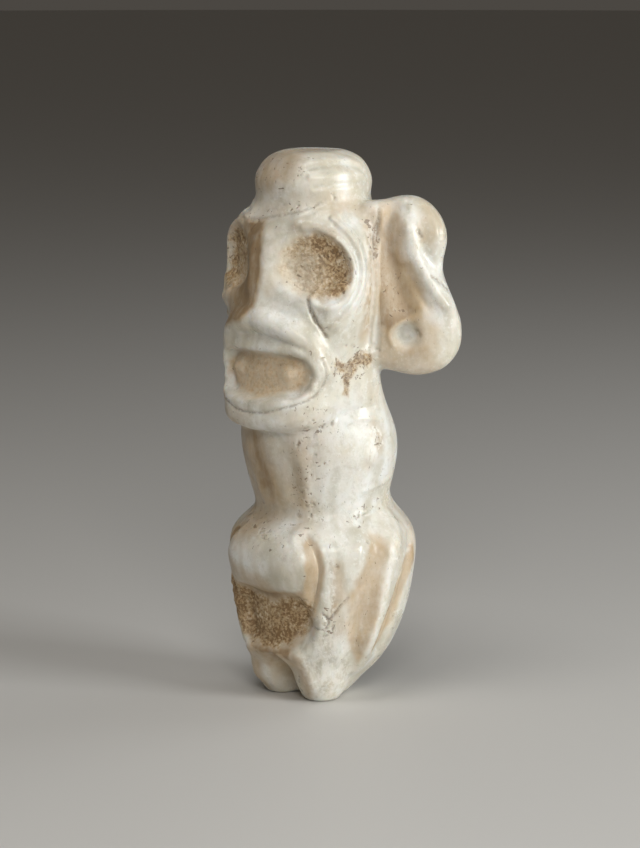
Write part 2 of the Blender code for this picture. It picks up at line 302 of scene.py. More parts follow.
def on_map(chart, side, on_ears):
    """The sideways reading of each point, its size in millimetres, and whether the point counts."""
    if on_ears:
        owner = chart.ear if side == BOTH else chart.ear * ((chart.x > 0) == (side == NEAR))
        return chart.outward, np.ones_like(chart.outward), owner
    turn = {BOTH: np.abs(chart.turn), NEAR: chart.turn, FAR: -chart.turn}[side]
    return turn, np.radians(1) * chart.girth, chart.post


def distance_to(chart, line, side, on_ears):
    """How far each point is from the line, in millimetres."""
    across, per_step, _ = on_map(chart, side, on_ears)
    found = np.full(len(across), 1e9)
    for (a, low), (b, high) in zip(line, line[1:] if len(line) > 1 else line):
        run, rise = (b - a) * per_step, high - low
        from_a, from_low = (across - a) * per_step, chart.height - low
        share = np.clip((from_a * run + from_low * rise) / np.maximum(run**2 + rise**2, 1e-9), 0, 1)
        found = np.minimum(found, np.hypot(from_a - share * run, from_low - share * rise))
    return found


def eased(value):
    """Goes from 0 to 1 with a soft start and a soft end."""
    value = np.clip(value, 0, 1)
    return value * value * (3 - 2 * value)


def reach(chart, path, width, side=BOTH, on_ears=False, flat=0.0):
    """1 on the path, falling smoothly to 0 at the width. flat is the share of the width that stays 1."""
    found = distance_to(chart, smooth_line(path), side, on_ears)
    return eased((1 - found / width) / (1 - flat)) * on_map(chart, side, on_ears)[2]


def patch(chart, outline, soft, side=BOTH, on_ears=False, ragged=0.0):
    """1 inside the outline and 0 outside. The edge is soft wide, and ragged moves it in and out."""
    across, _, owner = on_map(chart, side, on_ears)
    inside = np.zeros(len(across), bool)
    for (a, low), (b, high) in zip(outline, outline[1:] + outline[:1]):
        crosses = (low > chart.height) != (high > chart.height)
        where = a + (chart.height - low) / (high - low + 1e-9) * (b - a)
        inside ^= crosses & (across < where)
    found = distance_to(chart, outline + outline[:1], side, on_ears)
    signed = np.where(inside, found, -found) + ragged
    return eased(0.5 + signed / soft) * owner


# %% [markdown]
# ## The head, gone over again
#
# The block already has the sockets, nose, mouth and ears. What a faceted block can't hold is the second
# ridge round the eye, the groove over the nose wing, the cut line under the lips and the crease where
# the cap sits on the brow. These are cut here, each well under a millimetre deep. A few strokes lift the
# skin instead, such as those that make the mouth as shallow as the real one.

# %% Cut the fine lines of the head
Cut = namedtuple("Cut", "path width lift side", defaults=(BOTH,))

INNER_RIDGE = [
    (34, 84.4), (44, 84.4), (53, 83.5), (60, 81.9), (65, 79.5), (66.5, 77.2), (65, 74.6), (60, 72.2),
    (52, 71.0), (45, 71.3), (40.5, 72.3),
]
OUTER_RIDGE = [
    (56, 85.9), (64, 84.2), (70, 81.5), (72.5, 78.6), (72.5, 75.9), (69, 72.7), (61, 69.6), (53, 67.6),
]
LIP_LINE = [(0, 52.2), (13, 52.6), (25, 53.6), (36, 54.6), (44, 55.9), (49, 58.0), (50, 60.2), (47, 62.0)]
CAP_CREASE = [(-22, 85.1), (-1, 85.8), (21, 86.7), (34, 87.4), (43, 88.2), (51, 88.8)]
EAR_CREASE = [(91, 87.2), (91, 85.6), (89, 83.8), (86.5, 81.4), (85.5, 79.0)]

HEAD_CUTS = {
    "wall of the eye": Cut([(44, 83.3), (53, 82.3), (60, 80.1), (62.5, 77.5), (62, 75.5)], 1.3, -0.34),
    "shallow foot of the eye": Cut([(60, 74.2), (54, 73.4), (46, 73.2)], 2.0, 0.40),
    "inner ridge of the eye": Cut(INNER_RIDGE, 0.85, 0.32),
    "groove between the ridges": Cut(
        [(56, 84.9), (64, 82.4), (69, 79.2), (70, 75.9), (67, 73.2), (59, 70.3)],
        0.65, -0.32,
    ),
    "outer ridge of the eye": Cut(OUTER_RIDGE, 0.7, 0.32),
    "groove behind the ridges": Cut(
        [(64, 86.2), (71.5, 84.0), (76, 80.6), (77, 77.4), (75.5, 73.6), (70, 70.2)],
        0.7, -0.26,
    ),
    "lid tip": Cut([(54, 70.9), (47, 70.9), (42, 71.7)], 1.6, 0.14),
    "ridge of the brow": Cut([(14, 84.0), (26, 85.3), (40, 86.2), (52, 86.6), (61, 86.4)], 1.3, 0.22),
    "upper line of the brow": Cut([(26, 86.6), (40, 87.4), (54, 87.9), (68, 87.4), (76, 85.8)], 0.7, 0.14),
    "edge of the nose": Cut([(2.5, 84.2), (5, 80.5), (5.5, 76.5), (4.5, 73.0), (1, 70.2)], 1.2, 0.08),
    "groove over the nose wing": Cut(
        [(6, 72.0), (20, 71.6), (33, 70.3), (42, 68.4), (51, 65.2), (57, 61.8)],
        2.4, -0.30,
    ),
    "roll of the nose wing": Cut(
        [(4, 67.9), (12, 67.9), (21, 67.2), (30, 66.0), (39, 64.6), (46, 62.6), (51, 60.2)],
        3.0, 0.42,
    ),
    "groove under the nose wing": Cut(
        [(-14, 65.7), (2, 65.9), (13, 65.4), (25, 64.9), (36, 63.9)],
        0.8, -0.25, NEAR,
    ),
    "upper lip": Cut([(0, 64.3), (20, 64.0), (33, 63.3)], 1.7, 0.30),
    "shallow corner of the mouth": Cut([(27, 59.2), (37, 59.3)], 3.4, 0.75),
    "edge of the upper lip": Cut(
        [(0, 63.3), (17, 63.3), (29, 63.1), (38, 62.3), (43, 60.8), (44.5, 59.2), (42, 57.2)],
        0.9, 0.3,
    ),
    "shallow floor of the mouth": Cut([(-4, 59.4), (26, 59.4)], 3.4, 0.70),
    "cut line of the lips": Cut(LIP_LINE, 0.5, -0.22),
    "crease under the cap, near": Cut(CAP_CREASE, 0.6, -0.12, NEAR),
    "crease under the cap, far": Cut([(20, 85.0), (34, 85.2), (52, 86.6), (70, 88.2)], 0.6, -0.2, FAR),
    "crease before the ear": Cut(EAR_CREASE, 0.8, -0.4),
    "edge before the ear": Cut([(87.5, 83.7), (86.8, 76.8), (87.2, 70), (87.5, 64.4)], 0.5, 0.22),
    "first ledge of the cap": Cut([(37, 94.6), (55, 95.0), (76, 95.0), (95, 94.4)], 0.9, -0.24, NEAR),
    "second ledge of the cap": Cut([(38, 92.9), (54, 93.1), (74, 93.5), (95, 92.9)], 0.9, 0.24, NEAR),
    "third ledge of the cap": Cut([(42, 91.2), (59, 91.6), (79, 91.7), (103, 91.1)], 0.9, -0.20, NEAR),
}


def cut_all(chart, cuts, on_ears=False):
    """How far the strokes together move each point along its normal, in millimetres."""
    lift = np.zeros(len(chart.x))
    for cut in cuts.values():
        lift += cut.lift * reach(chart, cut.path, cut.width, cut.side, on_ears)
    return lift


def move_skin(mesh, lift):
    """Moves each point out, or in where the lift is less than nothing."""
    places, ways = read_skin(mesh)
    mesh.vertices.foreach_set("co", (places + ways * lift[:, None] * MM).ravel())
    mesh.update()
    print("moved by", round(float(lift.min()), 2), "to", round(float(lift.max()), 2), "mm")


move_skin(skin, cut_all(chart, HEAD_CUTS))

# %% [markdown]
# ## The ears
#
# Each ear is a flat slab with a channel that runs down behind a rolled fold, and a drilled dimple in the
# lobe. The dimple was made with a point twirled in wet sand, so it is round with a soft rim. The block's
# channel is a little too deep at its top, so a stroke fills it there.

# %% Go over the ears
EAR_FOLD = [(15.6, 84.6), (16.1, 82.0), (16.9, 79.5), (18.4, 76.5), (20.2, 73.5), (22.2, 71.0)]
EAR_CUTS = {
    "dimple": Cut([(15.1, 65.7), (15.5, 65.7)], 2.5, -1.9),
    "left lip of the dimple": Cut([(13.2, 67.4), (12.4, 65.7), (13.0, 64.0)], 0.9, 0.20),
    "edge of the fold": Cut(EAR_FOLD, 1.6, 0.34),
    "soft top of the channel": Cut([(14.2, 86.0), (14.4, 82.5), (15.0, 79.0)], 2.0, 0.55),
    "side of the channel": Cut([(15.4, 77.4), (16.4, 75.0), (17.3, 73.2), (18.7, 70.8)], 1.2, -0.30),
    "dip under the upper lobe": Cut([(18.4, 80.0), (20.2, 77.4), (21.8, 75.4)], 1.5, -0.3),
    "first line of the upper lobe": Cut([(19.8, 87.2), (20.9, 85.0), (21.2, 82.6)], 0.45, -0.12),
    "second line of the upper lobe": Cut([(21.0, 87.0), (22.1, 84.6), (22.2, 82.4)], 0.45, -0.12),
}
move_skin(skin, cut_all(chart_of(skin), EAR_CUTS, on_ears=True))

# %% [markdown]
# ## The body and legs
#
# The drawn-up legs are long folds with rubbed grooves between them, and a thin line parts the calf from
# the thigh. Strokes that lift the floors of the two grooves make them as shallow as the real ones, and
# thin strokes along their sides make those crisp. The hip, waist and shoulder get their creases.

# %% Go over the body and legs
THIGH_LINE = [(119, 27.6), (108, 25.2), (102, 21.5), (97.5, 17.5), (93, 13.8), (91, 9.5)]
BODY_CUTS = {
    "crisp side of the shin": Cut(
        [(47, 28.4), (49.8, 25.6), (48.5, 21.9), (46, 18.6), (41.5, 14.7), (31, 11.4)],
        0.8, 0.12,
    ),
    "floor of the belly groove": Cut(
        [(34.5, 30.2), (39, 28.6), (42.5, 26.0), (43.5, 23.5), (42.5, 20.0), (40, 17.0)],
        2.8, 0.92,
    ),
    "back side of the shin groove": Cut(
        [(95, 30.0), (92, 26.8), (89, 23.0), (87, 18.5), (85, 14.0), (84, 9.5)],
        0.9, 0.16,
    ),
    "floor of the shin groove": Cut(
        [(87, 30.5), (83.5, 27.0), (81.0, 22.5), (78.5, 18.0), (77.0, 13.5), (77.5, 9.0)],
        3.0, 0.70,
    ),
    "line under the thigh": Cut(THIGH_LINE, 0.6, -0.3),
    "edge of the foot": Cut([(22, 10.0), (31, 9.0), (36.5, 5.9), (40.5, 3.0)], 1.2, 0.10),
    "cleft between the feet": Cut([(0, 7.6), (0, 4.0), (0, 0.0)], 1.4, -0.5),
    "ridge over the waist": Cut([(84, 38.0), (98, 38.8), (116, 39.8)], 0.9, 0.2),
    "crease at the hip": Cut([(77, 32.6), (88, 33.6), (108, 35.2)], 0.9, -0.22),
    "upper crease of the shoulder": Cut([(60, 51.4), (75, 52.7), (90, 53.0)], 0.8, -0.2, NEAR),
    "lower crease of the shoulder": Cut([(67, 50.6), (80, 51.1), (97, 50.4)], 0.7, 0.16, NEAR),
    "crust on the flank": Cut([(88, 48.0), (92, 46.8), (86, 44.6)], 1.3, 0.16, NEAR),
}
chart = chart_of(skin)
move_skin(skin, cut_all(chart, BODY_CUTS))

# %% [markdown]
# ## Old damage
#
# A crack opens on the cheek below the eye and runs down to the corner of the mouth, and fine cracks
# cross the shin in a V. They are there on one side only, as chance left them. Cracks are narrow and
# sharp, so they are cut once the larger strokes have set the form under them.

# %% Open the cracks
CRACKS = {
    "cheek crack": Cut(
        [(38.5, 72.2), (40.3, 70.4), (43, 68.8), (46.5, 67.4), (50.5, 65.8)],
        0.5, -0.45, NEAR,
    ),
    "mouth of the cheek crack": Cut([(40.5, 70.3), (43.5, 68.6)], 0.7, -0.4, NEAR),
    "shin crack": Cut([(48, 17.2), (52, 16.1), (56, 17.3), (60, 18.8), (64, 20.0)], 0.42, -0.2, NEAR),
    "branch of the shin crack": Cut([(43, 14.3), (49, 14.2), (52, 15.4), (50.5, 16.6)], 0.4, -0.16, NEAR),
    "end of the shin crack": Cut([(49, 13.0), (53, 13.5), (55.5, 14.6)], 0.4, -0.16, NEAR),
    "scratch on the brow": Cut([(-17, 83.2), (-12, 84.9)], 0.4, -0.2, NEAR),
    "crack across the haunch": Cut([(140, 33), (150, 27), (165, 24), (172, 18)], 0.4, -0.16, NEAR),
    "crack in the back of the head": Cut(
        [(152, 80), (158, 77.4), (155, 75.6), (161, 71.5), (159, 69)],
        0.4, -0.16, FAR,
    ),
}
EAR_CRACKS = {
    "crack in the fold": Cut([(19.6, 75.9), (20.8, 75.0), (22.5, 73.3)], 0.4, -0.18, NEAR),
    "crack in the upper lobe": Cut([(17.2, 83.9), (17.7, 82.8)], 0.45, -0.22, NEAR),
}
chart = chart_of(skin)
move_skin(skin, cut_all(chart, CRACKS) + cut_all(chart, EAR_CRACKS, on_ears=True))

# %% [markdown]
# ## Rough floors and a hand-rubbed skin
#
# The eye sockets, the mouth and the hollow under the belly were pecked out and never polished, so their
# floors stay granular and hold brown earth. So does a chipped corner between the jaw and the neck.
# Everything else was rubbed by hand, which leaves very shallow waves and, down the front of the trunk,
# long folds. All of it comes from noise read at the point's own place, so each run gives the same stone.

# %% Outline the rough floors
EYE = [
    (14, 77.5), (17, 80.3), (26, 82.6), (42, 83.6), (54, 83.0), (62, 80.6), (65, 77.6),
    (63, 74.4), (57, 72.8), (48, 72.4), (41, 72.6), (32, 73.1), (20, 75.1),
]
MOUTH = [
    (-6, 62.4), (4, 62.5), (22, 62.2), (34, 61.4), (40, 59.8), (39, 58.2), (32, 56.6), (17, 55.6),
    (-6, 54.6),
]
HOLLOW = [
    (-8, 17.9), (0, 18.0), (14, 18.8), (29, 19.5), (38, 19.6), (43, 18.6), (41, 16.5), (36, 14.2),
    (24, 11.2), (3, 9.6), (-8, 9.6),
]
HOLLOW_FAR = [
    (-8, 17.9), (0, 18.0), (20, 18.8), (38, 20.4), (50, 21.4), (56, 18), (52, 13.5), (42, 11), (24, 10),
    (-8, 9.6),
]
JAW_CORNER = [
    (58, 62.3), (62, 61.2), (66, 60.6), (72, 61.6), (79, 63.2), (89, 61.4), (85, 60.0), (77, 60.2),
    (71, 58.6), (68, 55.2), (64, 55.6), (62, 59.0), (57, 60.8),
]


def rough_floors(chart, ragged):
    """How far each point is in the floor of an eye, the mouth, the hollow and the chipped jaw corner."""
    fade = eased((np.abs(chart.turn) - 20) / 36)
    eye = patch(chart, EYE, 1.6, ragged=0.5 * ragged)
    mouth = patch(chart, MOUTH, 1.2, ragged=0.4 * ragged)
    hollow = patch(chart, HOLLOW, 1.8, ragged=0.7 * ragged)
    hollow = np.maximum(hollow, patch(chart, HOLLOW_FAR, 1.8, FAR, ragged=0.7 * ragged))
    corner = patch(chart, JAW_CORNER, 0.9, NEAR, ragged=0.6 * ragged)
    return eye * (0.55 + 0.45 * fade), mouth, hollow, corner


# %% Peck the floors and rub the rest
TEMPLE = [(77, 84), (86, 85), (86, 66), (80, 66), (74, 71), (78, 77)]
ROUGHNESS = np.array([[1.0], [0.5], [1.0], [0.9]])  # eye, mouth, hollow, jaw corner


def noise_at(mesh, grain, stretch=(1, 1, 1), shift=0.0):
    """Smooth noise from -1 to 1 whose bumps are about the grain apart, in millimetres."""
    scale = Vector(stretch) / (grain * MM)
    away = Vector((shift, shift * 0.7, shift * 0.3))
    places = [Vector(a * b for a, b in zip(point.co, scale)) + away for point in mesh.vertices]
    return np.array([noise.noise(place) for place in places])


chart = chart_of(skin)
edge_noise = noise_at(skin, 1.6, shift=5.0)
pecked = np.clip(sum(rough_floors(chart, edge_noise) * ROUGHNESS), 0, 1)
waves = noise_at(skin, 9.0, (1, 1, 0.45))
ripples = noise_at(skin, 2.6, (1, 1, 0.6), 7.0)
pecks = noise_at(skin, 1.3, shift=3.0)
grains = noise_at(skin, 0.65, shift=11.0)
trunk = eased((chart.height - 33) / 5) * eased((52 - chart.height) / 5)
front_left = eased((48 - np.abs(chart.turn - 8)) / 22)
folds = np.sin(np.radians(chart.turn) * 15 + waves * 5) * trunk * front_left
temple = patch(chart, TEMPLE, 2.0)
hand_rubbed = 0.12 * waves + 0.045 * ripples + 0.14 * folds + 0.10 * temple * grains
sole = np.clip(chart.height / 2.0, 0, 1)  # the lowest two millimetres stay level
move_skin(skin, (hand_rubbed * (1 - pecked) + (0.20 * pecks + 0.15 * grains) * pecked) * sole)

# %% [markdown]
# ## Pits
#
# Natural pits and small chips lie scattered over the stone, thickest along the middle of the trunk and
# where the jaw meets the neck. They are too many to place one by one, so they are drawn by chance from a
# fixed seed, with the odds raised where the real stone has its pitted zones. A pit is a short chain of
# dents, so that none of them is a neat round hole.

# %% Choose where the pits are
PIT_SEED = 11
PIT_COUNT = 170
PIT_LINKS = 3
PIT_STEP = 0.28 * MM

PIT_ZONES = (  # path, width, side, how much likelier a pit is there
    ([(42, 50.8), (40, 46.5), (36, 42.0), (33, 38.0), (39, 34.0)], 3.6, NEAR, 12),
    ([(60, 60.3), (70, 59.8), (80, 61.5)], 2.4, NEAR, 40),
    ([(-22, 86.0), (-3, 86.4), (6, 87.2), (40, 88.0)], 1.4, NEAR, 12),
    ([(84, 84.6), (90, 83.0), (87, 80.6)], 2.0, NEAR, 30),
    ([(75, 33.4), (90, 35.2), (100, 36.0)], 1.6, NEAR, 14),
    ([(49, 17), (58, 14)], 2.6, NEAR, 8),
    ([(-35, 31.0), (-8, 31.5), (22, 29.5)], 2.2, NEAR, 8),
    ([(150, 58), (170, 44), (160, 36)], 3.0, FAR, 12),
)

chart = chart_of(skin)
odds = np.full(len(skin.vertices), 1.0)
for path, width, side, times in PIT_ZONES:
    odds += times * reach(chart, path, width, side)
odds *= (1 - pecked) * (chart.height > 1.0)
chance = np.random.default_rng(PIT_SEED)
pit_points = chance.choice(len(odds), PIT_COUNT, replace=False, p=odds / odds.sum())
pit_sizes = np.repeat(0.20 + 0.28 * chance.random(PIT_COUNT) ** 2, PIT_LINKS)
pit_places = []
for point in pit_points:
    link = skin.vertices[int(point)].co.copy()
    step = Vector(chance.normal(size=3)).normalized()
    for _ in range(PIT_LINKS):
        pit_places.append(link.copy())
        link += (step + Vector(chance.normal(size=3)) * 0.4) * PIT_STEP
print("dents:", len(pit_places))

# %% Sink the pits
PIT_DEPTH = 0.16


def pitted(mesh):
    """1 in the middle of a pit, 0 outside all of them."""
    tree = kdtree.KDTree(len(mesh.vertices))
    for point in mesh.vertices:
        tree.insert(point.co, point.index)
    tree.balance()
    found = np.zeros(len(mesh.vertices))
    for place, size in zip(pit_places, pit_sizes):
        for _, index, distance in tree.find_range(place, size * MM):
            found[index] = max(found[index], 1 - (distance / (size * MM)) ** 2)
    return found


move_skin(skin, -PIT_DEPTH * pitted(skin))

# %% [markdown]
# ## Fewer, better placed triangles
#
# The even skin spends as many triangles on a smooth cheek as on a pecked floor. A decimate pass keeps
# them where the form turns, and brings the piece to a size that a library can use. What stands out of the
# packed block's box is then pressed back to it, so that the sole is level and no stroke adds to the size.

# %% Thin the skin and level the sole
MOST_TRIANGLES = 192000
PER_SQUARE = 2  # the even skin is all four-sided faces, which are two triangles each

dense = new_object("dense", skin)
thin = dense.modifiers.new("thin", "DECIMATE")
thin.ratio = min(1.0, MOST_TRIANGLES / (PER_SQUARE * len(skin.polygons)))
stone = with_modifiers_applied(dense)
bpy.data.objects.remove(dense)

low, high = (np.array(corner) for corner in cad_box)
stone.vertices.foreach_set("co", np.clip(read_skin(stone)[0], low, high).ravel())
stone.shade_smooth()
stone.update()
stone.name = "zemi_stone"
idol = new_object("zemi_stone", stone)
print("finished stone:", len(stone.polygons), "faces")

# %% [markdown]
# ## Where the stone is stained, and where light and shade are painted
#
# Handling polished the high places and left them pale, while earth and smoke left stain in the low ones.
# Some of the colour is painted light instead: painted shade on the left and middle of the chest, under the
# belly's left edge, on the cap's left, on the nose's far side, beside the foot and deep in the ear's
# channel;
# painted highlights on the ear, the lips, the leg ridges and the foot; and a painted warm glow in the
# mouth.
# Six masks hold it all, one value for each point of the skin: how tan the stone is, how amber, how earthy,
# how dirty in its cracks, how speckled, and where it is chalk white or painted bright. The material reads
# them by name. They use the same strokes and patches as the carving, so the stain sits exactly in its
# groove.

# %% Outlines of the stained areas
BELLY_GROOVE = [
    (34, 29.4), (39, 30.3), (44, 29.8), (48, 28.0), (49.5, 25.7), (48, 21.9), (45, 18.8), (41, 14.6),
    (31, 11.1), (18, 9.0), (-8, 8.4), (-8, 19.6), (2, 19.8), (20, 20.4), (35, 21.2), (37, 24.2),
    (37, 27.1),
]
SHIN_GROOVE = [
    (79, 28.4), (85, 30.4), (91.5, 30.0), (92, 27.0), (88, 24.0), (86.5, 19.9), (85.5, 16.7),
    (84, 14.2), (83.5, 11.7), (82.5, 9.1), (80, 7.5), (73, 10), (67, 12.7), (65, 15.9), (64, 19.7),
    (69, 23.0), (75, 25.8),
]
THIGH_GROOVE = [
    (122, 27.6), (108, 25.0), (102, 21.4), (96, 17.3), (91.5, 13.6), (90.5, 9.5), (97, 10.5), (104, 14.5),
    (109, 18.5), (116, 22.2), (124, 24.5),
]
FOOT_SIDE = [
    (20, 9.6), (31, 8.7), (36, 5.7), (39.5, 3.0), (38, 0.6), (32, 0.8), (27, 4.3), (20, 6.6), (16, 8.5),
]
BETWEEN_FEET = [(-8, 9.8), (17, 9.6), (19, 6.0), (17, 2.0), (12, -1), (-8, -1)]
NOSE_SIDE = [
    (-2, 85.4), (2, 83), (4, 80.5), (5, 76.8), (4, 73.5), (2, 70.7), (-6, 68.0), (-30, 66.5), (-62, 67),
    (-62, 86), (-20, 85),
]
EAR_CHANNEL = [
    (9, 89), (14.2, 88.6), (15.4, 86), (15.4, 82.9), (15.8, 79.7), (17.2, 75.8), (18.6, 72.6), (19.8, 70.2),
    (17.6, 69.0), (14.5, 68.6), (11.5, 67.4), (9, 66),
]

# %% Read the map of the finished stone
EYE_ARCH = [(26, 80.4), (40, 81.6), (52, 81.2), (59, 79.0), (60.5, 76.4), (57, 74.4)]

chart = chart_of(stone)
edge_noise = noise_at(stone, 1.6, shift=5.0)
broad_noise = noise_at(stone, 4.5, shift=9.0)
eye, mouth, hollow, corner = rough_floors(chart, edge_noise)
eye_arch = eye * reach(chart, EYE_ARCH, 2.6)


def worn_mix(*parts):
    """The sum of the parts, kept between 0 and 1."""
    return np.clip(np.sum(parts, axis=0), 0, 1)


def keep_mask(name, values):
    """Stores one value for each point of the stone, under a name that the material can read."""
    layer = stone.attributes.new(name, "FLOAT", "POINT")
    layer.data.foreach_set("value", values.astype(np.float32))
    print(name, "covers", round(100 * float(values.mean())), "%")


# %% [markdown]
# ## The tan mask
#
# The tan mask is a list of strokes and patches with a strength each. Most are real stain, and some are
# painted shade on the stone's shaded left side and under the chin. They are added up, so that two weak ones
# make a strong one where they meet, and a stroke less than nothing makes a place paler: on the ear's fold,
# in its dimple and on the lips this is a painted highlight. The ears come first, then the legs and trunk,
# then the head.

# %% Tan stain, painted shade and painted highlights on the ears
LOBE_FOOT = [(11.0, 70.0), (11.5, 64.5), (14.0, 61.0), (18.0, 60.0)]
HIGHLIGHT_ON_FOLD = [(17.5, 80.0), (19.3, 76.6), (21.4, 73.6), (23.2, 71.0)]
HIGHLIGHT_IN_DIMPLE = [(14.4, 66.7), (14.0, 65.7), (14.6, 64.7), (15.6, 65.2), (15.4, 66.4)]

tan_of_ears = (
    # Partly real tan stain, partly painted shade deep in the ear's channel.
    0.78 * patch(chart, EAR_CHANNEL, 3.4, on_ears=True, ragged=0.5 * edge_noise),
    0.30 * reach(chart, [(11.5, 79.0), (12.5, 74.5), (13.5, 70.5)], 3.6, on_ears=True, flat=0.2),
    0.55 * reach(chart, LOBE_FOOT, 4.8, on_ears=True, flat=0.3),
    0.55 * reach(chart, [(15.5, 66.5), (18.0, 65.5)], 5.0, on_ears=True, flat=0.3),
    0.40 * reach(chart, [(19.0, 88.0), (19.5, 85.5), (18.5, 82.5)], 4.0, on_ears=True),
    -0.30 * reach(chart, [(15.5, 88.0), (15.2, 84.0), (15.6, 80.5)], 3.0, on_ears=True),
    # Painted highlight: the lit crest of the ear's fold is wiped pale.
    -0.80 * reach(chart, HIGHLIGHT_ON_FOLD, 2.3, on_ears=True, flat=0.4),
    # Painted highlight: the lit left wall of the dimple is wiped pale.
    -0.80 * reach(chart, HIGHLIGHT_IN_DIMPLE, 2.2, on_ears=True),
)

# %% Tan stain and painted shade on the legs and trunk
tan_of_body = (
    0.70 * patch(chart, BELLY_GROOVE, 0.8, ragged=0.25 * edge_noise),
    0.42 * patch(chart, SHIN_GROOVE, 1.2, ragged=0.55 * edge_noise + 0.3 * broad_noise),
    0.32 * patch(chart, SHIN_GROOVE, 4.0, ragged=0.8 * edge_noise + 0.8 * broad_noise),
    0.74 * patch(chart, THIGH_GROOVE, 1.2, ragged=0.5 * edge_noise),
    # Partly real tan stain, partly painted shade on the foot's inner side.
    0.70 * patch(chart, FOOT_SIDE, 1.4, ragged=0.3 * edge_noise),
    0.70 * patch(chart, BETWEEN_FEET, 2.4, ragged=0.3 * edge_noise),
    0.60 * reach(chart, [(57, 25.5), (58, 21.5), (55, 18.0)], 1.9, NEAR),
    0.42 * reach(chart, [(88, 49.6), (94, 47.0), (85, 43.4)], 2.2, NEAR),
    # Painted shade: the left of the chest, which turns away from the lamps, in tan.
    0.66 * reach(chart, [(-50, 50), (-34, 46), (-26, 40), (-26, 34)], 9.0, NEAR, flat=0.4),
    # Painted shade under the belly's lower left edge, in tan.
    0.60 * reach(chart, [(-52, 28), (-40, 25), (-18, 22), (4, 21)], 3.2, NEAR, flat=0.3),
    0.28 * reach(chart, [(34, 46), (30, 38), (34, 32)], 4.0, NEAR),
    0.30 * reach(chart, [(56, 17.5), (60, 14)], 2.4, NEAR),
    0.40 * reach(chart, [(130, 30), (150, 22), (180, 16)], 7.0),
    # Painted shade: the shadow the chin casts on the chest, in tan.
    0.34 * reach(chart, [(-10, 52), (-8, 46), (-2, 40)], 6.0, NEAR),
    # Painted shade over the middle of the chest, in tan.
    0.28 * reach(chart, [(36, 49), (28, 44), (24, 38)], 7.0, NEAR, flat=0.3),
    0.70 * hollow,
)

# %% Tan stain, painted shade and painted highlights on the head
NOSE_FAR_FROM = -18  # degrees: from here on the painted shade on the nose's side fades and its edge wanders
LIPS = [(0, 64.2), (24, 63.9), (38, 62.6), (46, 60.0), (44, 56.6), (30, 54.4), (0, 53.2)]

far_of_nose = eased((NOSE_FAR_FROM - chart.turn) / 40)
nose_edge = 0.35 * edge_noise + 1.4 * far_of_nose * broad_noise
tan_of_head = (
    # Painted shade: the nose's far side, which turns away from the lamps, in tan.
    0.96 * patch(chart, NOSE_SIDE, 1.4, NEAR, ragged=nose_edge) * (1 - 0.55 * far_of_nose),
    0.26 * reach(chart, [(-20, 87), (14, 88.0), (44, 89.6), (70, 89.0)], 3.0, NEAR),
    # Partly real tan stain, partly painted shade on the cap's left side.
    0.66 * reach(chart, [(-50, 92), (-20, 93), (4, 94.5)], 5.5, NEAR, flat=0.3),
    0.50 * reach(chart, [(86, 86), (86, 80), (83, 74), (80, 66)], 2.8, NEAR, flat=0.2),
    0.30 * reach(chart, [(60, 87.5), (80, 88.5)], 2.4, NEAR),
    0.30 * reach(chart, [(30, 84.4), (44, 84.6), (56, 84.0)], 1.6, NEAR),
    0.35 * reach(chart, [(150, 84), (170, 72), (180, 60)], 7.0),
    0.55 * eye,
    0.30 * eye_arch,
    0.30 * patch(chart, TEMPLE, 1.6, ragged=0.8 * edge_noise),
    0.36 * mouth,
    0.14 * reach(chart, [(11, 82), (12, 77), (11, 73)], 3.4),
    # Painted highlight: the lips are wiped pale.
    -0.25 * reach(chart, LIPS, 1.4),
)
keep_mask("tan", worn_mix(*tan_of_ears, *tan_of_body, *tan_of_head, 0.07 * broad_noise))

# %% [markdown]
# ## Amber, earth and dirt
#
# Amber is a painted warm glow, strongest in the mouth: the lip shades the mouth's floor, and amber stands
# in for the light that shines through the stone and bounces there. In the grooves of the legs it warms the
# tan.
# Earth is grit that was pressed into the pecked floors. Dirt is the dark line in a crack, a crease or a
# pit, so it follows the very paths that cut them.

# %% Amber tone and earth
amber = worn_mix(
    # Painted glow: the shaded floor of the mouth is painted bright and warm.
    0.85 * mouth,
    0.20 * eye,
    0.16 * patch(chart, BELLY_GROOVE, 1.2, ragged=0.5 * edge_noise),
    0.14 * patch(chart, SHIN_GROOVE, 2.0, ragged=0.8 * edge_noise),
    0.14 * patch(chart, THIGH_GROOVE, 1.6, ragged=0.5 * edge_noise),
)
keep_mask("amber", amber)

earth = worn_mix(
    0.78 * eye,
    0.42 * eye_arch,
    0.34 * mouth,
    hollow,
    1.0 * corner,
    0.30 * reach(chart, [(11.0, 79.0), (12.2, 75.0), (12.8, 70.5)], 3.4, on_ears=True),
)
keep_mask("earth", earth)

# %% Dirt in the cracks and pits
SPOT_IN_DIMPLE = [(17.2, 66.5), (17.6, 65.7)]
DIRTY_LINES = (  # path, width, side, on the ears, how dark
    (SPOT_IN_DIMPLE, 0.70, BOTH, True, 0.55),
    (CAP_CREASE, 0.45, NEAR, False, 0.35),
    (EAR_CREASE, 0.70, NEAR, False, 0.70),
    (LIP_LINE, 0.40, BOTH, False, 0.50),
    (THIGH_LINE, 0.40, BOTH, False, 0.40),
    *((cut.path, cut.width * 0.85, cut.side, False, 0.70) for cut in CRACKS.values()),
    *((cut.path, cut.width, cut.side, True, 0.60) for cut in EAR_CRACKS.values()),
)

dirt = np.maximum(0.6 * pitted(stone), 0.22 * corner)
for path, width, side, on_ears, darkness in DIRTY_LINES:
    dirt = np.maximum(dirt, darkness * reach(chart, path, width, side, on_ears))
keep_mask("dirt", dirt)

# %% [markdown]
# ## Specks, chalk and painted highlights
#
# The stone has fine dark specks all over, and more of them where it is pitted. On worn edges the polish is
# gone and the marble turns chalk white, and the same white paints highlights on the lit ridges of the legs,
# on the foot and along the lips. These two masks say only how likely a speck or a white mark is. The
# material decides where each one falls.

